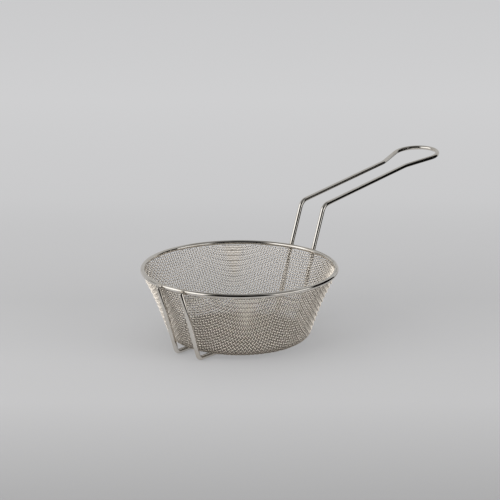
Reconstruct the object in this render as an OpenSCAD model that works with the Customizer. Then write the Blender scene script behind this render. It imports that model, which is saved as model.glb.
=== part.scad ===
// Round wire basket with a fine woven bowl, a rim ring and one long bent wire.
// The wire starts under the rim at the front, runs down the bowl, under its floor and
// up the back, passes the rim on its outside and becomes the handle, and then returns.
// Origin: centre of the bowl on the surface it stands on. The handle points to +X.

/* [Rim] */
// Outer diameter of the rim ring
rim_outer_d = 215; // [180:1:260]
// Height of the top of the rim above the table
rim_top_h = 83; // [65:1:120]
// Diameter of the rim wire
rim_wire_d = 5; // [3.5:0.1:6.5]

/* [Bowl] */
// Diameter of the bowl floor, out to where the wall and the floor would meet
floor_d = 155; // [130:1:170]
// Radius of the rounded corner between the wall and the floor
corner_r = 9; // [5:0.5:14]
// How far the wall bows in from a straight cone
wall_bow = 2.6; // [1:0.1:5]
// Diameter of the cloth wires
cloth_wire_d = 0.9; // [0.6:0.05:1.2]
// Thickness of the cloth between its ridges
web_t = 0.6; // [0.4:0.05:0.8]
// Woven ridges from the middle of the floor to the rim, both ways
ridge_count = 30; // [18:1:31]
// Ridges from one open gap to the next, both ways
gap_period = 5; // [5:1:8]
// Ridges that each gap spans
gap_span = 3; // [1:2:3]

/* [Frame and handle] */
// Diameter of the frame wire
frame_wire_d = 5; // [3.5:0.1:6.5]
// Distance between the two runs of the frame wire
run_spacing = 32; // [24:1:50]
// How far the frame's lower corners stand out past the edge of the bowl floor
foot_out = 6; // [3:0.5:14]
// Centre-line radius of the foot corners
foot_bend_r = 6; // [4.5:0.5:12]
// Height of the corner where the handle turns outward
handle_corner_h = 129; // [105:1:160]
// Outward lean of the uprights above the rim, from the vertical
upright_lean = 21; // [8:1:35]
// Centre-line radius of that corner
handle_bend_r = 12; // [8:1:20]
// Upward tilt of the handle
handle_tilt = 7; // [0:1:20]
// Length of the handle from its corner to its tip
handle_length = 239.5; // [180:0.5:300]
// Outer width of the rounded grip
grip_w = 59; // [54:1:80]
// Angle at which the grip widens on each side
grip_flare = 14; // [8:1:25]
// Centre-line radius where the widening starts
flare_bend_r = 30; // [15:1:60]

/* [Fits] */
// Gap left between pieces that touch or are welded together
seat_gap = 0.1; // [0.05:0.05:0.3]

/* [Hidden] */
$fn = 48;
nickel = "#c9c6c0";
warm_nickel = "#b3aa9c";

// Rim
rim_r = (rim_outer_d - rim_wire_d) / 2;
rim_z = rim_top_h - rim_wire_d / 2;

// Frame, in the plane of one run: x outward, z up
run_y = run_spacing / 2;
foot_z = frame_wire_d / 2;
foot_x = floor_d / 2 + foot_out;
rim_bend_r = 40;

// Where the wire passes the rim: clear of the ring on its steeper side, with the rounding
// of the bend taken off where the leg below leans out more than the upright
rim_seat = (rim_wire_d + frame_wire_d) / 2 + seat_gap;
leg_lean = atan2(rim_r + rim_seat - foot_x, rim_z - foot_z);
rim_bend_cut = leg_lean > upright_lean ? rim_bend_r / cos((leg_lean - upright_lean) / 2) - rim_bend_r : 0;
rim_pass = rim_r + (rim_seat + rim_bend_cut) / cos(max(leg_lean, upright_lean));
rim_pass_x = sqrt(rim_pass ^ 2 - run_y ^ 2);
front_end = [-rim_pass_x, rim_z];
handle_corner_x = rim_pass_x + (handle_corner_h - rim_z) * tan(upright_lean);
wire_sides = 16;
bend_step = 12;
grip_step = 8;

// Grip, in the plane of the handle: u along the handle from its corner, v across it
grip_r = (grip_w - frame_wire_d) / 2;
grip_u = handle_length - frame_wire_d / 2 - grip_r;
grip_start = [grip_u - grip_r * sin(grip_flare), grip_r * cos(grip_flare)];
flare_u = grip_start.x - (grip_start.y - run_y) / tan(grip_flare);

// Bowl: the middle of the cloth, drawn as radius and height
cloth_t = 2 * cloth_wire_d;
bowl_top = [rim_r - cloth_t / 2, rim_z - rim_wire_d / 2 - seat_gap];
bowl_corner = [floor_d / 2 - cloth_t / 2, frame_wire_d + seat_gap + cloth_t / 2];

// Wall arc, centred outside the bowl, that bows in by wall_bow between its two ends
wall_chord = bowl_top - bowl_corner;
wall_len = norm(wall_chord);
wall_r = (wall_len ^ 2 / 4 + wall_bow ^ 2) / (2 * wall_bow);
wall_out = [wall_chord.y, -wall_chord.x] / wall_len;
wall_c = (bowl_top + bowl_corner) / 2 + wall_out * (wall_r - wall_bow);

// Corner arc, tangent to the wall arc and to the floor
bend_z = bowl_corner.y + corner_r;
bend_c = [wall_c.x - sqrt((wall_r + corner_r) ^ 2 - (bend_z - wall_c.y) ^ 2), bend_z];
bend_top = wall_c + (bend_c - wall_c) * wall_r / (wall_r + corner_r);

function heading(v) = atan2(v.y, v.x);
function polar(r, a) = [r * cos(a), r * sin(a)];

wall_a0 = (heading(bowl_top - wall_c) + 360) % 360;
wall_a1 = (heading(bend_top - wall_c) + 360) % 360;
bend_a0 = heading(bend_top - bend_c);
wall_run = wall_r * (wall_a1 - wall_a0) * PI / 180;
bend_run = corner_r * (bend_a0 + 90) * PI / 180;
bowl_run = wall_run + bend_run + bend_c.x;

// Spacing of the ridges, and how near to the rim two of them may cross
ridge_pitch = bowl_run / ridge_count;
least_cell = 0.35;
last_reach = bowl_run - least_cell * ridge_pitch;

// How far the weave carries the middle of the cloth over or under
weave_rise = (cloth_t - web_t) / 2;

// Point [radius, height] on the middle of the cloth at distance s from the rim
function bowl_point(s) =
    s < wall_run ? wall_c + polar(wall_r, wall_a0 + s / wall_r * 180 / PI)
    : s < wall_run + bend_run ?
        bend_c + polar(corner_r, bend_a0 - (s - wall_run) / corner_r * 180 / PI)
    : [bend_c.x - (s - wall_run - bend_run), bowl_corner.y];

// Direction out of the bowl at the same place
function bowl_normal(s) =
    s < wall_run ? -polar(1, wall_a0 + s / wall_r * 180 / PI)
    : s < wall_run + bend_run ? polar(1, bend_a0 - (s - wall_run) / corner_r * 180 / PI)
    : [0, -1];

// Turn from direction a to direction b, in degrees
function turn_angle(a, b) = atan2(a.x * b.y - a.y * b.x, a * b);

// Stations [x, y, heading] round one corner [x, y, bend radius], in steps of about bend_step
function bend_stations(before, corner, after) =
    let (
        into = [corner.x - before.x, corner.y - before.y],
        away = [after.x - corner.x, after.y - corner.y],
        turn = turn_angle(into, away),
        side = sign(turn),
        trim = corner.z * tan(abs(turn) / 2),
        start = [corner.x, corner.y] - into / norm(into) * trim,
        centre = start + polar(corner.z * side, heading(into) + 90),
        steps = max(1, round(abs(turn) / bend_step))
    )
    [for (k = [0:steps]) let (h = heading(into) + turn * k / steps)
        concat(centre - polar(corner.z * side, h + 90), h)];

// Stations along all inner corners of a bent run
function run_stations(corners) =
    [for (i = [1:len(corners) - 2])
        each bend_stations(corners[i - 1], corners[i], corners[i + 1])];

// The ring at the top, one round wire bent into a circle
module rim_ring() {
    color(nickel)
        translate([0, 0, rim_z])
            rotate_extrude($fn = 96)
                translate([rim_r, 0])
                    circle(d = rim_wire_d);
}

// Place of crossing (i, j) of two ridges on the flat cloth, from the middle of the floor.
// The middle lines of the bowl pass half way between two ridges.
function flat_place(i, j) = [i - 0.5, j - 0.5] * ridge_pitch;
function is_inside(place) = norm(place) < last_reach;
function is_crossing(i, j) = is_inside(flat_place(i, j));

// Crossing (i, j) on the cloth's outer (side 1) or inner (side -1) face. The square grid is
// draped from the middle, and what would pass the rim ends on it. Ridges go over and under
// by turns.
function crossing(i, j, side) =
    let (
        flat = flat_place(i, j),
        s = is_inside(flat) ? bowl_run - norm(flat) : 0,
        rise = is_inside(flat) ? weave_rise * ((i + j) % 2 == 0 ? 1 : -1) : 0,
        p = bowl_point(s) + bowl_normal(s) * (side * web_t / 2 + rise),
        a = heading(flat)
    )
    [p.x * cos(a), p.x * sin(a), p.y];

// True where the cell from crossing (i, j) to (i + 1, j + 1) is cloth: part is inside the rim
function is_cloth(i, j) =
    is_crossing(i, j) || is_crossing(i + 1, j)
        || is_crossing(i, j + 1) || is_crossing(i + 1, j + 1);

// Middle of the gap nearest to cell i, counted in ridges from the middle line
function gap_middle(i) = gap_period * round(i / gap_period);

// True where that cell is open: each gap that fits whole inside the rim is cut
function is_gap(i, j) =
    let (ci = gap_middle(i), cj = gap_middle(j), half = gap_span / 2)
    abs(i - ci) < half && abs(j - cj) < half
        && is_inside([abs(ci) + half, abs(cj) + half] * ridge_pitch);

function is_wall(i, j) = is_cloth(i, j) && !is_gap(i, j);

// Two triangles for a four-sided face, split along one diagonal or the other
function halves(q, way = 0) =
    way == 0 ? [[q[0], q[1], q[2]], [q[0], q[2], q[3]]] : [[q[0], q[1], q[3]], [q[1], q[2], q[3]]];

// The bowl, one cloth of woven wire pressed to shape: ridges in one wall, with a grid of gaps
module mesh_bowl() {
    across = 2 * ridge_count + 2;
    span = [-ridge_count:ridge_count + 1];
    cells = [-ridge_count:ridge_count];
    points = [for (side = [1, -1]) for (j = span) for (i = span) crossing(i, j, side)];
    function id(i, j, face) =
        face * across * across + (j + ridge_count) * across + i + ridge_count;
    function quad(i, j, face) =
        [id(i, j, face), id(i + 1, j, face), id(i + 1, j + 1, face), id(i, j + 1, face)];
    function flipped(q) = [q[3], q[2], q[1], q[0]];
    walls = [for (j = cells) for (i = cells) if (is_wall(i, j)) [i, j]];
    skins = [for (c = walls) let (way = (c.x + c.y + 2 * ridge_count) % 2)
        each concat(halves(quad(c.x, c.y, 0), way), halves(flipped(quad(c.x, c.y, 1)), 1 - way))];
    edges = [for (c = walls) each cell_edges(c, quad(c.x, c.y, 0), quad(c.x, c.y, 1))];
    color(warm_nickel)
        polyhedron(points = points, faces = concat(skins, edges), convexity = 10);
}

// Edges of a cell of the wall that face a gap or the rim, joining its two faces
function cell_edges(c, outer, inner) =
    let (beside = [[0, -1], [1, 0], [0, 1], [-1, 0]])
    [for (k = [0:3]) let (m = (k + 1) % 4, next = c + beside[k])
        if (!is_wall(next.x, next.y)) each halves([outer[m], outer[k], inner[k], inner[m]])];

// Corners [x, z, bend radius] of one run, from its front end to its grip end
run_corners = [
    [front_end.x, front_end.y, 0],
    [-foot_x, foot_z, foot_bend_r],
    [foot_x, foot_z, foot_bend_r],
    [rim_pass_x, rim_z, rim_bend_r],
    [handle_corner_x, handle_corner_h, handle_bend_r],
    [handle_corner_x + flare_u * cos(handle_tilt), handle_corner_h + flare_u * sin(handle_tilt), 0]
];

// Corners [u, v, bend radius] of one side of the grip, in the plane of the handle
grip_corners = [
    [0, run_y, 0],
    [flare_u, run_y, flare_bend_r],
    [grip_start.x, grip_start.y, 0]
];

// A wire station in space: centre, direction, and a sideways direction square to it
front_heading = heading([-foot_x, foot_z] - front_end);
front_way = [cos(front_heading), 0, sin(front_heading)];
front_station = [[front_end.x, run_y, front_end.y], front_way, [0, 1, 0]];
run_wire = concat([front_station],
    [for (p = run_stations(run_corners)) [[p.x, run_y, p.y], [cos(p.z), 0, sin(p.z)], [0, 1, 0]]]);

handle_u = [cos(handle_tilt), 0, sin(handle_tilt)];
handle_v = [0, 1, 0];
function grip_station(u, v, h) =
    [[handle_corner_x, 0, handle_corner_h] + u * handle_u + v * handle_v,
        cos(h) * handle_u + sin(h) * handle_v,
        -sin(h) * handle_u + cos(h) * handle_v];

grip_steps = round((90 + grip_flare) / grip_step);
half_grip = concat(
    [for (p = run_stations(grip_corners)) grip_station(p.x, p.y, p.z)],
    [for (k = [0:grip_steps]) let (a = (90 + grip_flare) * (1 - k / grip_steps))
        grip_station(grip_u + grip_r * cos(a), grip_r * sin(a), a - 90)]);
half_wire = concat(run_wire, half_grip);

// The same station on the other half of the wire, where it runs the other way
function mirrored(st) =
    [[st[0].x, -st[0].y, st[0].z], [-st[1].x, st[1].y, -st[1].z], [st[2].x, -st[2].y, st[2].z]];

// The frame and the handle, one round wire from end to end
module handle_frame() {
    turn_back = len(half_wire) - 2;
    wire = concat(half_wire, [for (k = [turn_back:-1:0]) mirrored(half_wire[k])]);
    last = len(wire) - 1;
    points = [for (st = wire) for (k = [0:wire_sides - 1])
        let (a = 360 * k / wire_sides)
        st[0] + frame_wire_d / 2 * (cos(a) * st[2] + sin(a) * cross(st[1], st[2]))];
    function id(i, k) = i * wire_sides + k % wire_sides;
    color(nickel)
        polyhedron(points = points, convexity = 6, faces = concat(
            [[for (k = [0:wire_sides - 1]) id(0, k)]],
            [for (i = [0:last - 1]) for (k = [0:wire_sides - 1])
                each halves([id(i, k + 1), id(i, k), id(i + 1, k), id(i + 1, k + 1)])],
            [[for (k = [wire_sides - 1:-1:0]) id(last, k)]]));
}

rim_ring();
mesh_bowl();
handle_frame();
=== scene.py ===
"""Looks of a round fine mesh basket: a woven wire bowl, a plated rim and one long bent wire."""

from __future__ import annotations

import logging
import math
from dataclasses import dataclass, field
from enum import Enum
from typing import Any, Union

import bpy
import numpy as np
from mathutils import Matrix, Vector


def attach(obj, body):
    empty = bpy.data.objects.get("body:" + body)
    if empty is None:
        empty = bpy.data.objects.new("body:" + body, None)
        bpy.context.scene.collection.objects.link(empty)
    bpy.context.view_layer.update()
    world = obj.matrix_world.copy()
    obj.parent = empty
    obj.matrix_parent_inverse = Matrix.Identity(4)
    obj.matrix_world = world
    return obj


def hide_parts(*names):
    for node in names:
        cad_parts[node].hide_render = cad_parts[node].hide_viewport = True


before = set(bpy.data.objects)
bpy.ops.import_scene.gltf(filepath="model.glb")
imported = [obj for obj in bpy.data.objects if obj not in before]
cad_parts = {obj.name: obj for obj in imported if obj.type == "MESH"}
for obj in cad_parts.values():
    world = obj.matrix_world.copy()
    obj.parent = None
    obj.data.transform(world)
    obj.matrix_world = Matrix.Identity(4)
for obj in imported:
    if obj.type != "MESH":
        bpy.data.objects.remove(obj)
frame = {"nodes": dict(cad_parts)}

log = logging.getLogger("basket")

Number = Union[float, int]
Colour = tuple[float, float, float]
MM = 0.001
BODY = "root"


class Cloth(Enum):
    """The two families of wires in the woven cloth."""

    WARP = "warp"
    WEFT = "weft"


class Blend(Enum):
    """How two shader values are put together by a Math node."""

    ADD = "ADD"
    TAKE = "SUBTRACT"
    TIMES = "MULTIPLY"
    OVER = "DIVIDE"
    POWER = "POWER"
    LOWER = "MINIMUM"
    UPPER = "MAXIMUM"
    ANGLE = "ARCTAN2"


@dataclass(frozen=True)
class Signal:
    """One socket of a node tree, with operators that add the Math nodes of an expression."""

    bench: "NodeBench"
    socket: bpy.types.NodeSocket

    def _join(self, how: Blend, first: Any, second: Any) -> "Signal":
        """Adds one Math node.

        Args:
            how: the operation.
            first: a signal or a number.
            second: a signal or a number.

        Returns:
            The node's value.
        """
        return self.bench.node("ShaderNodeMath", {"operation": how.value}, {0: first, 1: second})

    def __add__(self, other: Any) -> "Signal":
        """Sum."""
        return self._join(Blend.ADD, self, other)

    def __radd__(self, other: Any) -> "Signal":
        """Sum, with a number first."""
        return self._join(Blend.ADD, other, self)

    def __sub__(self, other: Any) -> "Signal":
        """Difference."""
        return self._join(Blend.TAKE, self, other)

    def __rsub__(self, other: Any) -> "Signal":
        """Difference, with a number first."""
        return self._join(Blend.TAKE, other, self)

    def __mul__(self, other: Any) -> "Signal":
        """Product."""
        return self._join(Blend.TIMES, self, other)

    def __rmul__(self, other: Any) -> "Signal":
        """Product, with a number first."""
        return self._join(Blend.TIMES, other, self)

    def __truediv__(self, other: Any) -> "Signal":
        """Quotient."""
        return self._join(Blend.OVER, self, other)

    def __rtruediv__(self, other: Any) -> "Signal":
        """Quotient, with a number first."""
        return self._join(Blend.OVER, other, self)

    def __pow__(self, other: Any) -> "Signal":
        """Power."""
        return self._join(Blend.POWER, self, other)

    def lower(self, other: Any) -> "Signal":
        """The lower of two values."""
        return self._join(Blend.LOWER, self, other)

    def upper(self, other: Any) -> "Signal":
        """The higher of two values."""
        return self._join(Blend.UPPER, self, other)

    def angle(self, other: Any) -> "Signal":
        """The angle whose tangent is this value over the other, in radians."""
        return self._join(Blend.ANGLE, self, other)

    def step(self, low: Number, high: Number) -> "Signal":
        """A smooth rise.

        Args:
            low: the value at which the rise starts.
            high: the value at which it ends; below low, the rise is a fall.

        Returns:
            0 before low, 1 past high.
        """
        ends = {1: min(low, high), 2: max(low, high), 3: 0.0, 4: 1.0}
        if high < low:
            ends[3], ends[4] = 1.0, 0.0
        settings = {"interpolation_type": "SMOOTHSTEP", "clamp": True}
        return self.bench.node("ShaderNodeMapRange", settings, {0: self, **ends})


@dataclass
class NodeBench:
    """A node tree under construction, for a material, a lamp or the world."""

    tree: bpy.types.NodeTree

    def node(
        self,
        kind: str,
        settings: dict[str, Any] | None = None,
        sockets: dict[Any, Any] | None = None,
        output: str | int = 0,
    ) -> Signal:
        """Adds one node.

        Args:
            kind: the node's type.
            settings: its properties, set first; "stops" are a ramp's (place, colour) pairs.
            sockets: its inputs by name or number, each a value or a signal.
            output: which output is returned.

        Returns:
            That output as a signal.
        """
        made = self.tree.nodes.new(kind)
        for key, value in (settings or {}).items():
            if key == "stops":
                self._stops(made.color_ramp, value)
            else:
                setattr(made, key, value)
        for key, value in (sockets or {}).items():
            if isinstance(value, Signal):
                self.tree.links.new(value.socket, made.inputs[key])
            else:
                made.inputs[key].default_value = value
        return Signal(self, made.outputs[output] if made.outputs else made.inputs[0])

    @staticmethod
    def _stops(ramp: bpy.types.ColorRamp, stops: list[tuple[float, Colour]]) -> None:
        """Sets a ramp's stops, each a place and a colour."""
        while len(ramp.elements) < len(stops):
            ramp.elements.new(0.5)
        for element, (place, colour) in zip(ramp.elements, stops):
            element.position = place
            element.color = (*colour, 1.0)

    def mix(self, factor: Any, first: Any, second: Any) -> Signal:
        """A colour between two.

        Args:
            factor: 0 gives the first, 1 the second.
            first: a colour or a signal.
            second: a colour or a signal.

        Returns:
            The mixed colour.
        """
        ends = [c if isinstance(c, Signal) else (*c, 1.0) for c in (first, second)]
        return self.node(
            "ShaderNodeMix", {"data_type": "RGBA"}, {0: factor, 6: ends[0], 7: ends[1]}, 2
        )

    def vector(self, how: str, first: Any, second: Any, output: str = "Vector") -> Signal:
        """One Vector Math node on two vectors."""
        return self.node("ShaderNodeVectorMath", {"operation": how}, {0: first, 1: second}, output)

    def place(self) -> Signal:
        """The point in the basket's own frame, in metres."""
        return self.node("ShaderNodeTexCoord", {}, {}, "Object")

    def along(self, name: str) -> Signal:
        """The place on a wire: metres along it, and turns around it."""
        return self.node("ShaderNodeUVMap", {"uv_map": name})

    def told(self, name: str) -> Signal:
        """A value that the mesh keeps for each of its points."""
        return self.node("ShaderNodeAttribute", {"attribute_name": name}, {}, "Fac")

    def noise(self, at: Signal, scale: Number, detail: Number = 3.0, rough: Number = 0.5) -> Signal:
        """Soft noise.

        Args:
            at: the point it is read at.
            scale: bumps in a metre.
            detail: how many finer layers are added.
            rough: the share of the finer layers.

        Returns:
            A value around a half.
        """
        return self.node(
            "ShaderNodeTexNoise", {}, {"Vector": at, "Scale": scale, "Detail": detail, "Roughness": rough}
        )

    def dents(self, at: Signal, scale: Number) -> Signal:
        """Distance to the nearest of many scattered points."""
        return self.node("ShaderNodeTexVoronoi", {}, {"Vector": at, "Scale": scale})

    def stretch(self, at: Signal, by: Colour) -> Signal:
        """A point with each of its three parts multiplied."""
        return self.vector("MULTIPLY", at, by)


@dataclass
class Metal:
    """A Principled material under construction."""

    name: str
    metallic: float = 1.0
    material: bpy.types.Material = field(init=False)
    bench: NodeBench = field(init=False)
    shader: bpy.types.Node = field(init=False)

    def __post_init__(self) -> None:
        """Makes the material and sets what is the same all over."""
        self.material = bpy.data.materials.new(self.name)
        self.material.use_nodes = True
        tree = self.material.node_tree
        self.bench = NodeBench(tree)
        self.shader = next(n for n in tree.nodes if n.type == "BSDF_PRINCIPLED")
        self.shader.inputs["Metallic"].default_value = self.metallic

    def feed(self, socket: str, value: Signal) -> None:
        """Links a varying value to one of the shader's sockets."""
        self.bench.tree.links.new(value.socket, self.shader.inputs[socket])

    def bump(self, height: Signal, depth: float) -> None:
        """Gives the surface small relief.

        Args:
            height: relief from 0 to 1.
            depth: how deep 1 is, in metres.
        """
        bump = self.bench.node(
            "ShaderNodeBump", {}, {"Strength": 1.0, "Distance": depth, "Height": height}, "Normal"
        )
        self.feed("Normal", bump)


@dataclass(frozen=True)
class PlatedWire:
    """Bright nickel plate on thick round wire, with faint drawing lines and hazy stretches."""

    name: str = "bright_plated_wire"
    plate: Colour = (0.78, 0.75, 0.70)
    dull: Colour = (0.62, 0.57, 0.50)
    burnt: Colour = (0.36, 0.29, 0.21)
    polish: float = 0.04
    haze: float = 0.06
    relief: float = 0.000004
    weld_spots: tuple[Colour, ...] = ()
    weld_reach: float = 0.011

    def dress(self) -> bpy.types.Material:
        """Builds the material.

        Returns:
            The material, which reads the point in space and the place along the wire.
        """
        metal = Metal(self.name)
        bench = metal.bench
        here, run = bench.place(), bench.along("run")
        lines = bench.noise(bench.stretch(run, (60.0, 26.0, 1.0)), 1.0, 3.0, 0.6)
        cloud = bench.noise(here, 55.0, 4.0).step(0.42, 0.72)
        grain = bench.noise(here, 900.0, 2.0)
        pits = bench.dents(here, 420.0).step(0.16, 0.0)
        warm = self._near_welds(bench, here)
        colour = bench.mix(cloud * 0.55 + lines * 0.2, self.plate, self.dull)
        colour = bench.mix(pits * 0.35, colour, self.dull)
        colour = bench.mix(warm * (0.12 + 0.3 * grain), colour, self.burnt)
        metal.feed("Base Color", colour)
        rough = self.polish + self.haze * cloud * lines + 0.08 * pits + 0.10 * warm
        metal.feed("Roughness", rough)
        metal.bump(lines * 0.5 + grain * 0.5 - pits * 0.6, self.relief)
        return metal.material

    def _near_welds(self, bench: NodeBench, here: Signal) -> Signal:
        """How close a point is to a weld, from 0 to 1.

        Args:
            bench: the material's nodes.
            here: the point in space.

        Returns:
            1 at a weld, 0 past its reach.
        """
        least = None
        for spot in self.weld_spots:
            far = bench.vector("DISTANCE", here, spot, "Value")
            least = far if least is None else least.lower(far)
        return least.step(self.weld_reach, self.weld_reach * 0.25)


@dataclass(frozen=True)
class PlatedCloth:
    """Satin nickel plate on fine woven wire, with a painted highlight on the outer knuckles and near-black painted
    shade in the crossings and on the wires' inner sides.
    """

    name: str = "satin_plated_cloth"
    # The bright knuckle colour is the plate's own colour pushed up as a painted highlight; the near-black one is
    # painted shade in the crossings.
    plate_and_painted_highlight: Colour = (0.98, 0.91, 0.815)
    painted_crossing_shade: Colour = (0.030, 0.021, 0.014)
    dust: Colour = (0.60, 0.545, 0.47)
    painted_floor_shade: Colour = (0.30, 0.25, 0.19)
    polish: float = 0.30
    haze: float = 0.16
    # A brown painted shade for the cloth on the bowl's floor.
    floor_height: float = 0.016
    relief: float = 0.00001
    metallic: float = 0.52

    def dress(self) -> bpy.types.Material:
        """Builds the material, which reads each point's height in the weave.

        Returns:
            The material.
        """
        metal = Metal(self.name, self.metallic)
        bench = metal.bench
        here, crown = bench.place(), bench.told("crown")
        cloud = bench.noise(here, 28.0, 3.0).step(0.38, 0.70)
        speck = bench.noise(here, 700.0, 2.0, 0.6)
        # Painted light: where a wire's outer side rises in the weave it gets the bright colour as a painted
        # highlight; the crossings and inner sides get near-black painted shade.
        painted_knuckle_light = crown.step(-0.15, 0.50)
        height = bench.vector("DOT_PRODUCT", here, (0.0, 0.0, 1.0), "Value")
        # Painted shade: cloth lower than floor_height, on the bowl's floor, is darkened towards a brown.
        floor_shade_share = height.step(self.floor_height, self.floor_height * 0.45)
        bright = bench.mix(floor_shade_share * 0.85, self.plate_and_painted_highlight, self.painted_floor_shade)
        colour = bench.mix(painted_knuckle_light, self.painted_crossing_shade, bright)
        colour = bench.mix(cloud * 0.10 + speck * 0.08, colour, self.dust)
        metal.feed("Base Color", colour)
        metal.feed("Roughness", self.polish + self.haze * (1 - painted_knuckle_light) + 0.06 * cloud + 0.05 * speck)
        metal.bump(speck, self.relief)
        return metal.material


@dataclass(frozen=True)
class WeldBead:
    """Plated weld metal: lumpy, duller and browner than the wire."""

    name: str = "plated_weld"
    bright: Colour = (0.86, 0.82, 0.75)
    scorch: Colour = (0.48, 0.41, 0.33)
    relief: float = 0.00012

    def dress(self) -> bpy.types.Material:
        """Builds the material.

        Returns:
            The material.
        """
        metal = Metal(self.name)
        bench = metal.bench
        here = bench.place()
        lumps = bench.noise(here, 650.0, 4.0, 0.6)
        stain = bench.noise(here, 240.0, 3.0).step(0.35, 0.65)
        metal.feed("Base Color", bench.mix(stain * 0.8, self.bright, self.scorch))
        metal.feed("Roughness", 0.14 + 0.22 * stain + 0.10 * lumps)
        metal.bump(lumps, self.relief)
        return metal.material


@dataclass(frozen=True)
class Centreline:
    """Stations of a wire: centres, directions, and a sideways direction square to each."""

    centres: np.ndarray
    ways: np.ndarray
    sides: np.ndarray

    def then(self, other: "Centreline") -> "Centreline":
        """This line followed by another."""
        return Centreline(
            np.vstack([self.centres, other.centres]),
            np.vstack([self.ways, other.ways]),
            np.vstack([self.sides, other.sides]),
        )

    def returned(self) -> "Centreline":
        """The same line on the other side of the basket, run the other way, without its start."""
        flip = np.array([1.0, -1.0, 1.0])
        centres = (self.centres * flip)[::-1][1:]
        ways = (-self.ways * flip)[::-1][1:]
        return Centreline(centres, ways, (self.sides * flip)[::-1][1:])


@dataclass
class Skin:
    """Builds meshes and makes pieces of them."""

    @staticmethod
    def piece(
        name: str,
        points: np.ndarray,
        faces: list[tuple[int, ...]],
        material: bpy.types.Material,
        slot: str,
    ) -> bpy.types.Object:
        """Makes one smooth piece that rides on the basket.

        Args:
            name: the piece's name.
            points: its points, in metres.
            faces: the points of each face, outward.
            material: its finish.
            slot: not used.

        Returns:
            The piece.
        """
        mesh = bpy.data.meshes.new(name)
        sizes = np.array([len(f) for f in faces], np.int32)
        mesh.vertices.add(len(points))
        mesh.vertices.foreach_set("co", points.astype(np.float32).ravel())
        mesh.loops.add(int(sizes.sum()))
        mesh.loops.foreach_set("vertex_index", np.concatenate([np.asarray(f, np.int32) for f in faces]))
        mesh.polygons.add(len(sizes))
        mesh.polygons.foreach_set("loop_start", np.concatenate([[0], np.cumsum(sizes)[:-1]]).astype(np.int32))
        mesh.polygons.foreach_set("loop_total", sizes)
        mesh.polygons.foreach_set("use_smooth", np.ones(len(sizes), bool))
        mesh.update(calc_edges=True)
        mesh.validate()
        mesh.materials.append(material)
        made = bpy.data.objects.new(name, mesh)
        bpy.context.scene.collection.objects.link(made)
        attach(made, BODY)
        log.info("%s: %d points, %d faces", name, len(points), len(faces))
        return made

    @staticmethod
    def tube(
        name: str,
        line: Centreline,
        radius: float,
        sides: int,
        closed: bool,
        material: bpy.types.Material,
        slot: str,
    ) -> bpy.types.Object:
        """Sweeps a round wire along a line, with its length and turn kept as a map.

        Args:
            name: the piece's name.
            line: the wire's stations.
            radius: its radius; the last stations at an open end are rounded off.
            sides: points around it.
            closed: whether the end meets the start.
            material: its finish.
            slot: not used.

        Returns:
            The piece.
        """
        count = len(line.centres)
        turn = np.arange(sides) * (2 * math.pi / sides)
        across = np.cross(line.ways, line.sides)
        round_off = np.ones(count)
        centres = line.centres.copy()
        spoke = (
            np.cos(turn)[None, :, None] * line.sides[:, None, :]
            + np.sin(turn)[None, :, None] * across[:, None, :]
        )
        if not closed:
            round_off[[0, -1]] = 0.80
        points = (centres[:, None, :] + radius * round_off[:, None, None] * spoke).reshape(-1, 3)
        rows = count if closed else count - 1
        faces: list[tuple[int, ...]] = []
        for i in range(rows):
            a, b = i * sides, ((i + 1) % count) * sides
            faces += [(a + k, a + (k + 1) % sides, b + (k + 1) % sides, b + k) for k in range(sides)]
        if not closed:
            faces.append(tuple(range(sides - 1, -1, -1)))
            faces.append(tuple(range((count - 1) * sides, count * sides)))
        made = Skin.piece(name, points, faces, material, slot)
        step = np.linalg.norm(np.diff(line.centres, axis=0, append=line.centres[:1]), axis=1)
        length = np.concatenate([[0.0], np.cumsum(step)])
        layer = made.data.uv_layers.new(name="run")
        run = np.zeros((len(made.data.loops), 2), np.float32)
        corner = 0
        for i in range(rows):
            for k in range(sides):
                for s, (j, t) in enumerate(((i, k), (i, k + 1), (i + 1, k + 1), (i + 1, k))):
                    run[corner + s] = (length[j], t / sides)
                corner += 4
        layer.uv.foreach_set("vector", run.ravel())
        return made


@dataclass
class RimRing:
    """The round wire at the top of the bowl."""

    outer_diameter: float = 215 * MM
    top_height: float = 83 * MM
    wire: float = 5 * MM
    shy: float = 0.01 * MM
    stations: int = 288
    sides: int = 24

    @property
    def radius(self) -> float:
        """Radius of the wire's centre line."""
        return (self.outer_diameter - self.wire) / 2

    @property
    def height(self) -> float:
        """Height of the wire's centre line."""
        return self.top_height - self.wire / 2

    def build(self, finish: bpy.types.Material) -> bpy.types.Object:
        """Builds the ring in place of its solid.

        Args:
            finish: the wire's material.

        Returns:
            The ring.
        """
        angle = np.arange(self.stations) * (2 * math.pi / self.stations)
        out = np.stack([np.cos(angle), np.sin(angle), np.zeros_like(angle)], axis=1)
        ways = np.stack([-np.sin(angle), np.cos(angle), np.zeros_like(angle)], axis=1)
        centres = out * self.radius + np.array([0.0, 0.0, self.height])
        ring = Skin.tube(
            "rim_wire", Centreline(centres, ways, out), self.wire / 2 - self.shy, self.sides, True, finish, "rim_wire"
        )
        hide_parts("rim_ring")
        return ring


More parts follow.
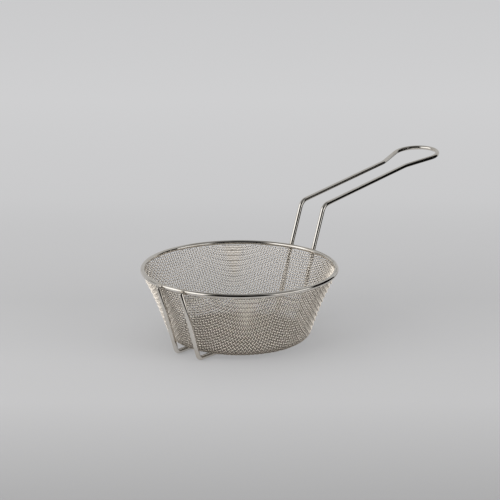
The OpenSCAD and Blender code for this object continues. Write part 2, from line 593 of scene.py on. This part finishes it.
@dataclass
class HandleFrame:
    """The one long wire: down the front, under the floor, up the back, the handle, and back."""

    rim: RimRing
    wire: float = 5 * MM
    run_spacing: float = 32 * MM
    foot_length: float = 167 * MM
    foot_bend: float = 6 * MM
    corner_height: float = 129 * MM
    lean: float = math.radians(21)
    rim_bend: float = 40 * MM
    corner_bend: float = 12 * MM
    tilt: float = math.radians(7)
    length: float = 239.5 * MM
    grip_width: float = 59 * MM
    flare: float = math.radians(14)
    flare_bend: float = 30 * MM
    seat_gap: float = 0.1 * MM
    bend_step: float = math.radians(3)
    sides: int = 24

    @property
    def pass_radius(self) -> float:
        """Radius at which the wire passes the rim."""
        return self.rim.radius + ((self.rim.wire + self.wire) / 2 + self.seat_gap) / math.cos(self.lean)

    @property
    def pass_x(self) -> float:
        """The same place measured along the handle's direction."""
        return math.sqrt(self.pass_radius**2 - (self.run_spacing / 2) ** 2)

    @property
    def corner_x(self) -> float:
        """Where the handle's corner lies along the handle's direction."""
        return self.pass_x + (self.corner_height - self.rim.height) * math.tan(self.lean)

    @property
    def grip_radius(self) -> float:
        """Radius of the rounded grip's centre line."""
        return (self.grip_width - self.wire) / 2

    def weld_spots(self) -> tuple[Colour, ...]:
        """Where the wire is welded to the rim.

        Returns:
            The four places between the two wires' centres.
        """
        angle = math.asin(self.run_spacing / 2 / self.pass_radius)
        mid = self.rim.radius + self.rim.wire / 2
        x, y = mid * math.cos(angle), mid * math.sin(angle)
        return tuple((sx * x, sy * y, self.rim.height) for sx in (1, -1) for sy in (1, -1))

    def _bends(self, corners: list[tuple[float, float, float]]) -> list[tuple[float, float, float]]:
        """Rounds off the inner corners of a path in a plane.

        Args:
            corners: each corner's two coordinates and its bend radius.

        Returns:
            Stations: two coordinates and a heading in radians.
        """
        found: list[tuple[float, float, float]] = []
        for before, corner, after in zip(corners, corners[1:], corners[2:]):
            into = math.atan2(corner[1] - before[1], corner[0] - before[0])
            away = math.atan2(after[1] - corner[1], after[0] - corner[0])
            turn = (away - into + math.pi) % (2 * math.pi) - math.pi
            side = math.copysign(1.0, turn)
            trim = corner[2] * math.tan(abs(turn) / 2)
            start = (corner[0] - math.cos(into) * trim, corner[1] - math.sin(into) * trim)
            middle = (
                start[0] - math.sin(into) * corner[2] * side,
                start[1] + math.cos(into) * corner[2] * side,
            )
            steps = max(2, round(abs(turn) / self.bend_step))
            for k in range(steps + 1):
                way = into + turn * k / steps
                found.append(
                    (
                        middle[0] + math.sin(way) * corner[2] * side,
                        middle[1] - math.cos(way) * corner[2] * side,
                        way,
                    )
                )
        return found

    def _run(self, flare_u: float) -> Centreline:
        """The stretch from the front end to the neck of the grip, in its upright plane."""
        y = self.run_spacing / 2
        x_foot, z_foot, x_pass = self.foot_length / 2, self.wire / 2, self.pass_x
        neck = (
            self.corner_x + flare_u * math.cos(self.tilt),
            self.corner_height + flare_u * math.sin(self.tilt),
            0.0,
        )
        corners = [
            (-x_pass, self.rim.height, 0.0),
            (-x_foot, z_foot, self.foot_bend),
            (x_foot, z_foot, self.foot_bend),
            (x_pass, self.rim.height, self.rim_bend),
            (self.corner_x, self.corner_height, self.corner_bend),
            neck,
        ]
        way = math.atan2(z_foot - self.rim.height, x_pass - x_foot)
        bevel = 0.6 * MM
        first = (-x_pass, self.rim.height, way)
        second = (-x_pass + bevel * math.cos(way), self.rim.height + bevel * math.sin(way), way)
        stations = [first, second] + self._bends(corners)
        centres = np.array([(x, y, z) for x, z, _ in stations])
        ways = np.array([(math.cos(h), 0.0, math.sin(h)) for _, _, h in stations])
        return Centreline(centres, ways, np.tile([0.0, 1.0, 0.0], (len(stations), 1)))

    def _grip(self, flare_u: float, start: tuple[float, float], grip_u: float) -> Centreline:
        """One side of the rounded grip, in the plane of the handle."""
        y, r = self.run_spacing / 2, self.grip_radius
        flat = self._bends([(0.0, y, 0.0), (flare_u, y, self.flare_bend), (*start, 0.0)])
        steps = 26
        for k in range(steps + 1):
            a = (math.pi / 2 + self.flare) * (1 - k / steps)
            flat.append((grip_u + r * math.cos(a), r * math.sin(a), a - math.pi / 2))
        along = np.array([math.cos(self.tilt), 0.0, math.sin(self.tilt)])
        across = np.array([0.0, 1.0, 0.0])
        origin = np.array([self.corner_x, 0.0, self.corner_height])
        centres = np.array([origin + u * along + v * across for u, v, _ in flat])
        ways = np.array([math.cos(h) * along + math.sin(h) * across for _, _, h in flat])
        sides = np.array([-math.sin(h) * along + math.cos(h) * across for _, _, h in flat])
        return Centreline(centres, ways, sides)

    def build(self, finish: bpy.types.Material) -> bpy.types.Object:
        """Builds the wire in place of its solid.

        Args:
            finish: the wire's material.

        Returns:
            The wire.
        """
        r = self.grip_radius
        grip_u = self.length - self.wire / 2 - r
        start = (grip_u - r * math.sin(self.flare), r * math.cos(self.flare))
        flare_u = start[0] - (start[1] - self.run_spacing / 2) / math.tan(self.flare)
        half = self._run(flare_u).then(self._grip(flare_u, start, grip_u))
        whole = half.then(half.returned())
        made = Skin.tube("frame_wire", whole, self.wire / 2, self.sides, False, finish, "frame_wire")
        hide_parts("handle_frame")
        return made


@dataclass
class Welds:
    """Small lumps of weld metal between the rim and the frame wire."""

    frame: HandleFrame
    half_length: float = 2.9 * MM
    half_depth: float = 1.5 * MM
    half_height: float = 1.9 * MM
    rows: int = 18
    columns: int = 28

    def _lump(self, spot: Colour, seed: int) -> np.ndarray:
        """Points of one lump, row by row.

        Args:
            spot: the middle of the weld.
            seed: picks its own uneven form.

        Returns:
            The points.
        """
        rng = np.random.default_rng(seed)
        phase = rng.uniform(0, 2 * math.pi, 6)
        out = math.atan2(spot[1], spot[0])
        away = np.array([math.cos(out), math.sin(out), 0.0])
        tangent = np.array([-math.sin(out), math.cos(out), 0.0])
        low = np.linspace(-math.pi / 2, math.pi / 2, self.rows)
        turn = np.arange(self.columns) * (2 * math.pi / self.columns)
        points = []
        for p in low:
            for t in turn if abs(p) < low[-1] else turn[:1]:
                swell = 1 + 0.10 * math.sin(2 * t + phase[0]) * math.cos(p)
                swell += 0.07 * math.sin(3 * t + 2 * p + phase[1]) + 0.05 * math.sin(5 * p + phase[2])
                a = self.half_length * math.sin(p) * swell
                b = self.half_depth * math.cos(p) * math.cos(t) * swell
                c = self.half_height * math.cos(p) * math.sin(t) * swell
                points.append(np.array(spot) + a * tangent + b * away + c * np.array([0, 0, 1.0]))
        return np.array(points)

    def build(self, finish: bpy.types.Material) -> bpy.types.Object:
        """Builds the four lumps as one piece.

        Args:
            finish: the weld metal's material.

        Returns:
            The piece.
        """
        points: list[np.ndarray] = []
        faces: list[tuple[int, ...]] = []
        n, rings = self.columns, self.rows - 2
        for seed, spot in enumerate(self.frame.weld_spots()):
            tip = seed * (rings * n + 2)
            first, end = tip + 1, tip + 1 + rings * n
            points.append(self._lump(spot, seed))
            faces += [(tip, first + k, first + (k + 1) % n) for k in range(n)]
            for a in range(first, end - n, n):
                faces += [(a + (k + 1) % n, a + k, a + n + k, a + n + (k + 1) % n) for k in range(n)]
            faces += [(end, end - n + (k + 1) % n, end - n + k) for k in range(n)]
        return Skin.piece("rim_welds", np.vstack(points), faces, finish, "rim_wire")


@dataclass
class WovenBowl:
    """Plain-weave wire cloth, draped over the bowl's form without stretching its wires."""

    rim: RimRing
    floor_diameter: float = 155 * MM
    corner_radius: float = 9 * MM
    bow: float = 2.6 * MM
    wire: float = 0.9 * MM
    pitch: float = 3.175 * MM
    seat_gap: float = 0.1 * MM
    frame_wire: float = 5 * MM
    sides: int = 6
    rings: int = 4
    sway: float = 0.16 * MM
    bulge: float = 0.6 * MM
    looseness: float = 0.6
    warp_share: float = 0.8
    crease_pull: float = math.radians(7)
    run: float = field(init=False, default=0.0)

    def _form(self) -> tuple[np.ndarray, np.ndarray]:
        """The bowl's profile from its centre outward, as a fine table.

        Returns:
            Distances along the profile, and rows of radius, height and the outward normal.
        """
        thick = 2 * self.wire
        top = np.array([self.rim.radius - thick / 2, self.rim.height - self.rim.wire / 2 - self.seat_gap])
        low = np.array([self.floor_diameter / 2 - thick / 2, self.frame_wire + self.seat_gap + thick / 2])
        chord = top - low
        length = float(np.linalg.norm(chord))
        wall_r = (length**2 / 4 + self.bow**2) / (2 * self.bow)
        wall_c = (top + low) / 2 + np.array([chord[1], -chord[0]]) / length * (wall_r - self.bow)
        bend_z = low[1] + self.corner_radius
        reach = wall_r + self.corner_radius
        bend_c = np.array([wall_c[0] - math.sqrt(reach**2 - (bend_z - wall_c[1]) ** 2), bend_z])
        meet = wall_c + (bend_c - wall_c) * wall_r / reach
        knee = math.atan2(meet[1] - bend_c[1], meet[0] - bend_c[0])
        bend_run = self.corner_radius * (knee + math.pi / 2)
        a1 = math.atan2(meet[1] - wall_c[1], meet[0] - wall_c[0]) % (2 * math.pi)
        a0 = math.atan2(top[1] - wall_c[1], top[0] - wall_c[0]) % (2 * math.pi)
        wall_run = wall_r * abs(a1 - a0)
        self.run = float(bend_c[0] + bend_run + wall_run)
        spare = 14 * MM
        at = np.linspace(0.0, self.run + spare, 6000)
        table = np.zeros((len(at), 4))
        for k, s in enumerate(at):
            if s < bend_c[0]:
                table[k] = (s, low[1], 0.0, -1.0)
            elif s < bend_c[0] + bend_run:
                a = -math.pi / 2 + (s - bend_c[0]) / self.corner_radius
                out = np.array([math.cos(a), math.sin(a)])
                table[k] = (*(bend_c + self.corner_radius * out), *out)
            else:
                a = a1 - (s - bend_c[0] - bend_run) / wall_r
                out = np.array([math.cos(a), math.sin(a)])
                table[k] = (*(wall_c + wall_r * out), *(-out))
        return at, table

    def _lift(self, at: np.ndarray, table: np.ndarray, s: np.ndarray, a: np.ndarray) -> np.ndarray:
        """Points in space at distance s along the profile and angle a round the bowl."""
        r, z = np.interp(s, at, table[:, 0]), np.interp(s, at, table[:, 1])
        return np.stack([r * np.cos(a), r * np.sin(a), z], axis=-1)

    def _net(self, at: np.ndarray, table: np.ndarray) -> tuple[np.ndarray, np.ndarray]:
        """Where the wires cross in one quarter, each a pitch from its two inner neighbours.

        Args:
            at: the profile's distances.
            table: the profile.

        Returns:
            Distance along the profile and angle of each crossing, by its two counts.
        """
        count = int(math.ceil((self.run + 8 * MM) / self.pitch)) + 1
        s = np.zeros((count, count))
        a = np.zeros((count, count))
        s[:, 0] = s[0, :] = np.arange(count) * self.pitch
        a[0, 1:] = math.pi / 2
        limit = float(at[-1])
        for total in range(2, 2 * count - 1):
            i = np.arange(max(1, total - count + 1), min(count, total))
            i = i[(total - i >= 1) & (total - i < count)]
            j = total - i
            if not len(i):
                continue
            p = self._lift(at, table, s[i - 1, j], a[i - 1, j])
            q = self._lift(at, table, s[i, j - 1], a[i, j - 1])
            o = self._lift(at, table, s[i - 1, j - 1], a[i - 1, j - 1])
            guess = p + q - o
            angle = np.arctan2(guess[:, 1], guess[:, 0])
            along = np.minimum(s[i - 1, j] + s[i, j - 1] - s[i - 1, j - 1], limit)
            for _ in range(12):
                here = self._lift(at, table, along, angle)
                step = 1e-6
                ds = (self._lift(at, table, along + step, angle) - here) / step
                da = (self._lift(at, table, along, angle + 1e-5) - here) / 1e-5
                u, v = here - p, here - q
                lu, lv = np.linalg.norm(u, axis=1), np.linalg.norm(v, axis=1)
                f, g = lu - self.pitch, lv - self.pitch
                fs, fa = (u * ds).sum(1) / lu, (u * da).sum(1) / lu
                gs, ga = (v * ds).sum(1) / lv, (v * da).sum(1) / lv
                det = fs * ga - fa * gs
                det = np.where(np.abs(det) < 1e-9, 1e-9, det)
                along = along - np.clip((f * ga - fa * g) / det, -0.002, 0.002)
                angle = angle - np.clip((fs * g - gs * f) / det, -0.05, 0.05)
                along = np.clip(along, 0.0, limit)
            s[i, j], a[i, j] = along, angle
        return s, a

    def _whole(self, s: np.ndarray, a: np.ndarray) -> tuple[np.ndarray, np.ndarray]:
        """All four quarters from one by their symmetry, with the crease at the left front pulled over."""
        n = s.shape[0] - 1
        counts = np.arange(-n, n + 1)
        i, j = np.meshgrid(np.abs(counts), np.abs(counts), indexing="ij")
        si, sj = np.meshgrid(np.sign(counts), np.sign(counts), indexing="ij")
        angle = np.arctan2(np.sin(a[i, j]) * np.where(sj < 0, -1, 1), np.cos(a[i, j]) * np.where(si < 0, -1, 1))
        run = s[i, j]
        wall = np.clip(run / (self.floor_diameter / 2) * 2 - 1, 0, 1)
        pull = self.crease_pull * np.sin(2 * angle) ** 2 * wall
        return run, np.where(angle > math.pi / 2, angle + pull, angle)

    def _slack(self, s: np.ndarray, a: np.ndarray) -> np.ndarray:
        """How far the cloth is sheared together, from 0 along the handle's line to 1 between."""
        wall = np.clip((s - self.floor_diameter / 2) / (22 * MM), 0, 1)
        edge = np.clip((self.run - s) / (9 * MM), 0, 1)
        return np.abs(np.sin(2 * a)) ** 3 * wall * edge

    def _strand(
        self,
        points: np.ndarray,
        normals: np.ndarray,
        reach: np.ndarray,
        slack: np.ndarray,
        sign: float,
        deeper: float,
        first: int,
    ) -> tuple[np.ndarray, np.ndarray, np.ndarray, np.ndarray] | None:
        """Stations of one wire, crimped over and under and cut at the rim.

        Args:
            points: where it crosses the others.
            normals: the bowl's outward normal there.
            reach: each crossing's distance along the profile.
            slack: how far the cloth is sheared together there, which makes it bulge.
            sign: whether it starts over or under.
            deeper: how much more of the crimp on the wall it takes, from -1 to 1.
            first: the count of its first crossing.

        Returns:
            Centres, directions, normals and heights in the weave, or None for a wire too short to keep.
        """
        inside = np.flatnonzero(reach <= self.run)
        if len(inside) < 3:
            return None
        lo, hi = max(inside[0] - 1, 0), min(inside[-1] + 1, len(points) - 1)
        fine = np.arange((hi - lo) * self.rings + 1) / self.rings + lo
        k = np.clip(fine.astype(int), 1, len(points) - 3)
        t = (fine - k)[:, None]
        p0, p1, p2, p3 = points[k - 1], points[k], points[k + 1], points[k + 2]
        centre = 0.5 * (
            2 * p1 + (p2 - p0) * t + (2 * p0 - 5 * p1 + 4 * p2 - p3) * t**2 + (3 * p1 - p0 - 3 * p2 + p3) * t**3
        )
        normal = normals[k] * (1 - t) + normals[k + 1] * t
        normal /= np.linalg.norm(normal, axis=1)[:, None]
        far = np.interp(fine, np.arange(len(reach)), reach)
        keep = far <= self.run
        height = sign * np.cos(math.pi * (fine + first))
        loose = np.interp(fine, np.arange(len(slack)), slack)
        wall = np.clip((far - self.floor_diameter / 2) / (12 * MM), 0, 1)
        wall = wall * np.clip((self.run - far) / (5 * MM), 0, 1)
        rise = height * self.wire / 2 * (1 + self.looseness * loose) * (1 + deeper * wall) + self.bulge * loose
        centre = centre + normal * rise[:, None]
        centre, normal, height = centre[keep], normal[keep], height[keep]
        way = np.gradient(centre, axis=0)
        way /= np.linalg.norm(way, axis=1)[:, None]
        return centre, way, normal, height

    def _pieces(self, at: np.ndarray, table: np.ndarray, s: np.ndarray, a: np.ndarray, family: Cloth) -> list[list]:
        """All wires of one family, in two lots of about the same length."""
        n = (s.shape[0] - 1) // 2
        grid = self._lift(at, table, s, a)
        grid = self._swayed(grid, s, a)
        nr, nz = np.interp(s, at, table[:, 2]), np.interp(s, at, table[:, 3])
        normals = np.stack([nr * np.cos(a), nr * np.sin(a), nz], axis=-1)
        slack = self._slack(s, a)
        lots: list[list] = [[], []]
        for k in range(-n, n + 1):
            row = k + n
            if family is Cloth.WARP:
                line, out, reach, loose = grid[row], normals[row], s[row], slack[row]
            else:
                line, out, reach, loose = grid[:, row], normals[:, row], s[:, row], slack[:, row]
            sign = (1.0 if family is Cloth.WARP else -1.0) * (-1.0) ** k
            deeper = self.warp_share if family is Cloth.WARP else -self.warp_share
            strand = self._strand(line, out, reach, loose, sign, deeper, -n)
            if strand is not None:
                lots[0 if k < 0 else 1].append(strand)
        return lots

    def _swayed(self, grid: np.ndarray, s: np.ndarray, a: np.ndarray) -> np.ndarray:
        """The crossings moved a little, in slow waves, as pressed cloth has them."""
        rng = np.random.default_rng(7)
        fade = np.clip((self.run - s) / (12 * MM), 0, 1)[..., None]
        moved = grid.copy()
        for _ in range(5):
            wave = rng.uniform(30, 110, 3) * rng.choice([-1, 1], 3)
            way = rng.normal(size=3)
            way[2] *= 0.3
            way /= np.linalg.norm(way)
            moved += fade * way * self.sway * np.sin(grid @ wave + rng.uniform(0, 6.28))[..., None] / 2
        return moved

    def _tubes(self, name: str, strands: list, finish: bpy.types.Material) -> bpy.types.Object:
        """One piece of many fine wires, with each point's height in the weave kept."""
        turn = np.arange(self.sides) * (2 * math.pi / self.sides)
        points, crowns, faces = [], [], []
        base = 0
        for centre, way, normal, height in strands:
            side = np.cross(way, normal)
            side /= np.linalg.norm(side, axis=1)[:, None]
            rise = np.cross(side, way)
            spoke = (
                np.cos(turn)[None, :, None] * rise[:, None, :] + np.sin(turn)[None, :, None] * side[:, None, :]
            )
            ring = (centre[:, None, :] + self.wire / 2 * spoke).reshape(-1, 3)
            points.append(ring)
            up = np.clip(1.6 * (spoke * normal[:, None, :]).sum(2), -1, 1)
            crowns.append((height[:, None] * up).ravel())
            count, n = len(centre), self.sides
            a = base + np.arange((count - 1) * n).reshape(count - 1, n)
            b = np.roll(a, -1, axis=1)
            quads = np.stack([a, b, b + n, a + n], axis=-1).reshape(-1, 4)
            faces += [tuple(q) for q in quads.tolist()]
            faces.append(tuple(range(base + n - 1, base - 1, -1)))
            faces.append(tuple(range(base + (count - 1) * n, base + count * n)))
            base += count * n
        made = Skin.piece(name, np.vstack(points), faces, finish, "mesh_cloth")
        kept = made.data.attributes.new("crown", "FLOAT", "POINT")
        kept.data.foreach_set("value", np.concatenate(crowns).astype(np.float32))
        return made

    def build(self, finish: bpy.types.Material) -> list[bpy.types.Object]:
        """Weaves the cloth in place of the bowl's solid.

        Args:
            finish: the cloth's material.

        Returns:
            The four pieces: two lots of wires each way.
        """
        at, table = self._form()
        s, a = self._whole(*self._net(at, table))
        made = []
        for family in Cloth:
            for tail, strands in zip("ab", self._pieces(at, table, s, a, family)):
                piece = self._tubes(f"cloth_{family.value}_{tail}", strands, finish)
                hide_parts("mesh_bowl")
                made.append(piece)
        return made


@dataclass
class Softbox:
    """A large soft lamp that faces the basket."""

    name: str
    azimuth: float
    elevation: float
    distance: float
    width: float
    height: float
    power: float
    tint: Colour = (1.0, 1.0, 1.0)
    mirrored: bool = True

    def build(self, aim: Vector) -> bpy.types.Object:
        """Hangs the lamp.

        Args:
            aim: the point it faces.

        Returns:
            The lamp.
        """
        lamp = bpy.data.lights.new(self.name, "AREA")
        lamp.shape = "RECTANGLE"
        lamp.size, lamp.size_y = self.width, self.height
        lamp.energy = self.power
        lamp.color = self.tint
        made = bpy.data.objects.new(self.name, lamp)
        bpy.context.scene.collection.objects.link(made)
        a, e = math.radians(self.azimuth), math.radians(self.elevation)
        off = Vector((math.cos(a) * math.cos(e), math.sin(a) * math.cos(e), math.sin(e))) * self.distance
        made.location = aim + off
        made.rotation_euler = (-off).to_track_quat("-Z", "Y").to_euler()
        made.visible_glossy = self.mirrored
        return made


@dataclass(frozen=True)
class Panel:
    """A bright or dark patch of the room as the metal mirrors it.

    Turns are degrees from the camera's direction to the right, rises are degrees above level.
    """

    turns: tuple[float, float]
    rises: tuple[float, float]
    tone: float
    soft_turn: float = 8.0
    soft_rise: float = 8.0

    def cover(self, turned: Signal, high: Signal) -> Signal:
        """How much of the panel lies in a direction.

        Args:
            turned: the direction's turn from the camera, in radians.
            high: the sine of its rise.

        Returns:
            1 inside the panel, 0 outside.
        """
        half, lift = self.soft_turn / 2, self.soft_rise / 2
        left, right = self.turns
        low, top = self.rises
        inside = turned.step(math.radians(left - half), math.radians(left + half))
        inside = inside * turned.step(math.radians(right + half), math.radians(right - half))
        inside = inside * high.step(self._sine(low - lift), self._sine(low + lift))
        if top < 90:
            inside = inside * high.step(self._sine(top + lift), self._sine(top - lift))
        return inside

    @staticmethod
    def _sine(rise: float) -> float:
        """The sine of a rise in degrees, kept between straight down and straight up."""
        return math.sin(math.radians(max(-90.0, min(90.0, rise))))


@dataclass(frozen=True)
class BlackCard:
    """A black card that stands to the right of the handle and is seen only in the metal.

    Its two foot corners are metres to the camera's right and toward the camera.
    """

    near: tuple[float, float] = (0.42, -0.02)
    far: tuple[float, float] = (0.55, -0.42)
    height: float = 0.50

    def build(self, right: Vector, facing: Vector) -> bpy.types.Object:
        """Stands the card up.

        Args:
            right: the camera's right.
            facing: the level direction to the camera.

        Returns:
            The card.
        """
        feet = [right * across + facing * toward for across, toward in (self.near, self.far)]
        rise = Vector((0.0, 0.0, self.height))
        mesh = bpy.data.meshes.new("black_card")
        mesh.from_pydata([feet[0], feet[1], feet[1] + rise, feet[0] + rise], [], [(0, 1, 2, 3)])
        card = Metal("black_card", 0.0)
        card.shader.inputs["Base Color"].default_value = (0.006, 0.006, 0.006, 1.0)
        card.shader.inputs["Specular IOR Level"].default_value = 0.0
        mesh.materials.append(card.material)
        made = bpy.data.objects.new("black_card", mesh)
        bpy.context.scene.collection.objects.link(made)
        made.visible_camera = made.visible_diffuse = made.visible_shadow = False
        return made


@dataclass
class Studio:
    """The floor, the lamps, the room that the metal mirrors, and the camera."""

    focal: float = 1348.0
    azimuth: float = math.radians(-49.405)
    elevation: float = math.radians(15.491)
    distance: float = 1.4582
    shift: float = 11.36 * MM
    aim_height: float = 100.2 * MM
    frame_size: float = 500.0
    floor_radius: float = 9.0
    # Painted light: the paper's colour and its glow are darker towards the front and lighter behind, as the light
    # falls off.
    paper_tones: tuple[tuple[float, float], ...] = (
        (-0.40, 0.29), (-0.30, 0.345), (-0.19, 0.395), (0.0, 0.395), (0.14, 0.385), (0.36, 0.41),
    )
    backdrop_tones: tuple[tuple[float, float], ...] = (
        (-0.40, 0.415), (-0.30, 0.475), (-0.19, 0.55), (-0.08, 0.555), (0.0, 0.53), (0.14, 0.52), (0.36, 0.555),
        (0.65, 0.59), (1.05, 0.605), (1.63, 0.625), (2.55, 0.61), (3.94, 0.597),
    )
    paper_front: float = 0.31
    paper_right: float = 0.30
    panels: tuple[Panel, ...] = (
        Panel((-200, 200), (58, 90), 0.13, soft_rise=30),
        Panel((20, 100), (22, 75), 0.30, soft_rise=16),
        Panel((-124, -98), (-20, 16), 0.20),
        Panel((88, 118), (-40, 30), 0.01, soft_rise=12),
        Panel((-104, -40), (-40, 48), 1.45, soft_turn=14, soft_rise=16),
        Panel((38, 88), (-40, 22), 1.30, soft_turn=10, soft_rise=14),
        Panel((-36, 36), (-40, 62), 0.004, soft_turn=14, soft_rise=16),
    )

    def _axes(self) -> tuple[Vector, Vector, Vector]:
        """The camera's right, up and forward directions."""
        a, e = self.azimuth, self.elevation
        right = Vector((math.cos(a), math.sin(a), 0.0))
        ahead = Vector((-math.sin(a) * math.cos(e), math.cos(a) * math.cos(e), -math.sin(e)))
        return right, right.cross(ahead), ahead

    def camera(self) -> bpy.types.Object:
        """Sets up the camera at the photograph's angle."""
        right, up, ahead = self._axes()
        data = bpy.data.cameras.new("camera")
        data.sensor_width = 36.0
        data.lens = self.focal / self.frame_size * data.sensor_width
        data.clip_start, data.clip_end = 0.05, 60.0
        made = bpy.data.objects.new("camera", data)
        bpy.context.scene.collection.objects.link(made)
        aim = Vector((0.0, 0.0, self.aim_height)) + right * self.shift
        turn = Matrix((right, up, -ahead)).transposed().to_4x4()
        made.matrix_world = Matrix.Translation(aim - ahead * self.distance) @ turn
        bpy.context.scene.camera = made
        return made

    def floor(self) -> bpy.types.Object:
        """Lays the pale floor, which brightens with distance."""
        right, _, ahead = self._axes()
        count = 96
        rings = [0.0, 0.2, 0.6, 1.5, 4.0, self.floor_radius]
        points, faces = [(0.0, 0.0, -0.0001)], []
        for radius in rings[1:]:
            points += [
                (radius * math.cos(2 * math.pi * k / count), radius * math.sin(2 * math.pi * k / count), -0.0001)
                for k in range(count)
            ]
        faces += [(0, 1 + k, 1 + (k + 1) % count) for k in range(count)]
        for r in range(len(rings) - 2):
            a, b = 1 + r * count, 1 + (r + 1) * count
            faces += [(a + k, b + k, b + (k + 1) % count, a + (k + 1) % count) for k in range(count)]
        mesh = bpy.data.meshes.new("floor")
        mesh.from_pydata(points, [], faces)
        made = bpy.data.objects.new("floor", mesh)
        bpy.context.scene.collection.objects.link(made)
        mesh.materials.append(self._paper(Vector((ahead.x, ahead.y, 0.0)).normalized()))
        return made

    def _paper(self, away: Vector) -> bpy.types.Material:
        """The backdrop paper: near the basket part lit and shadowed and part a painted glow that lightens the shadow,
        an even pale grey glow far behind it.

        Args:
            away: the level direction from the camera past the basket.

        Returns:
            The material.
        """
        paper = Metal("pale_paper", 0.0)
        bench = paper.bench
        depth = bench.vector("DOT_PRODUCT", bench.place(), tuple(away), "Value")
        paper.feed("Base Color", self._tones(bench, depth, self.paper_tones))
        paper.shader.inputs["Roughness"].default_value = 0.9
        paper.shader.inputs["Specular IOR Level"].default_value = 0.1
        across = bench.vector("DOT_PRODUCT", bench.place(), (-away.y, away.x, 0.0), "Value")
        seen = bench.node("ShaderNodeLightPath", {}, {}, "Is Camera Ray")
        shiny = bench.node("ShaderNodeLightPath", {}, {}, "Is Glossy Ray")
        past = depth.step(-self.paper_front, -self.paper_front - 0.08)
        past = past.upper(across.step(-self.paper_right, -self.paper_right - 0.06) * depth.step(0.9, 0.5)) * shiny
        far = bench.mix(past, self._tones(bench, depth, self.backdrop_tones), (0.012, 0.012, 0.012))
        glow = bench.node("ShaderNodeEmission", {}, {"Color": far, "Strength": 1.0})
        lit = Signal(bench, paper.shader.outputs[0])
        # Painted glow: near the basket 45 per cent of what the camera and the metal see is glow, which lightens the
        # basket's shadow on the paper.
        share = ((seen + shiny) * (0.45 + 0.55 * depth.step(0.12, 0.75))).upper(past)
        mixed = bench.node("ShaderNodeMixShader", {}, {0: share, 1: lit, 2: glow})
        output = next(n for n in bench.tree.nodes if n.type == "OUTPUT_MATERIAL")
        bench.tree.links.new(mixed.socket, output.inputs["Surface"])
        return paper.material

    @staticmethod
    def _tones(bench: NodeBench, depth: Signal, tones: tuple[tuple[float, float], ...]) -> Signal:
        """A grey for each depth behind the basket, in metres, smooth between those given."""
        low, high = tones[0][0], tones[-1][0]
        stops = [((at - low) / (high - low), (grey, grey, grey * 1.012)) for at, grey in tones]
        place = bench.node("ShaderNodeMapRange", {"clamp": True}, {0: depth, 1: low, 2: high, 3: 0.0, 4: 1.0})
        return bench.node("ShaderNodeValToRGB", {"stops": stops}, {0: place})

    def lamps(self) -> list[bpy.types.Object]:
        """Hangs the two side softboxes and the one overhead."""
        facing = math.degrees(math.atan2(-self._axes()[2].y, -self._axes()[2].x))
        aim = Vector((0.03, 0.0, 0.08))
        boxes = [
            Softbox("left_softbox", facing - 66, 20, 1.7, 1.9, 1.5, 30.0, (1.0, 0.985, 0.96), False),
            Softbox("right_softbox", facing + 58, 16, 1.8, 1.7, 1.4, 25.0, (1.0, 0.99, 0.975), False),
            Softbox("top_softbox", facing - 110, 84, 1.9, 2.8, 2.8, 19.0, (1.0, 1.0, 1.0), False),
        ]
        return [box.build(aim) for box in boxes]

    def room(self) -> None:
        """Paints the room around: pale behind the basket, dark behind the camera."""
        world = bpy.data.worlds.new("room")
        bpy.context.scene.world = world
        world.use_nodes = True
        bench = NodeBench(world.node_tree)
        world.node_tree.nodes.clear()
        right, _, ahead = self._axes()
        facing = Vector((-ahead.x, -ahead.y, 0.0)).normalized()
        way = bench.node("ShaderNodeTexCoord", {}, {}, "Generated")
        toward = bench.vector("DOT_PRODUCT", way, tuple(facing), "Value")
        across = bench.vector("DOT_PRODUCT", way, tuple(right), "Value")
        high = bench.vector("DOT_PRODUCT", way, (0.0, 0.0, 1.0), "Value")
        turned = across.angle(toward)
        mirrored: Any = (0.52, 0.52, 0.52)
        for panel in self.panels:
            mirrored = bench.mix(panel.cover(turned, high), mirrored, (panel.tone,) * 3)
        seen = bench.node("ShaderNodeLightPath", {}, {}, "Is Camera Ray")
        diffuse = bench.node("ShaderNodeLightPath", {}, {}, "Is Diffuse Ray")
        tone = bench.mix(diffuse, mirrored, (0.58, 0.58, 0.586))
        tone = bench.mix(seen, tone, (0.60, 0.60, 0.61))
        glow = bench.node("ShaderNodeBackground", {}, {"Color": tone, "Strength": 1.0})
        bench.node("ShaderNodeOutputWorld", {}, {"Surface": glow})

    def build(self) -> None:
        """Sets the whole studio."""
        self.camera()
        self.floor()
        self.lamps()
        self.room()
        right, _, ahead = self._axes()
        BlackCard().build(right, Vector((-ahead.x, -ahead.y, 0.0)).normalized())
        bpy.context.scene.view_settings.view_transform = "Standard"


def main() -> None:
    """Builds the studio and the basket, in order."""
    logging.basicConfig(level=logging.INFO, format="%(name)s: %(message)s")
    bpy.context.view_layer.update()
    Studio().build()
    rim = RimRing()
    handle = HandleFrame(rim)
    wire = PlatedWire(weld_spots=handle.weld_spots()).dress()
    rim.build(wire)
    handle.build(wire)
    Welds(handle).build(WeldBead().dress())
    WovenBowl(rim).build(PlatedCloth().dress())


if __name__ == "__main__":
    main()
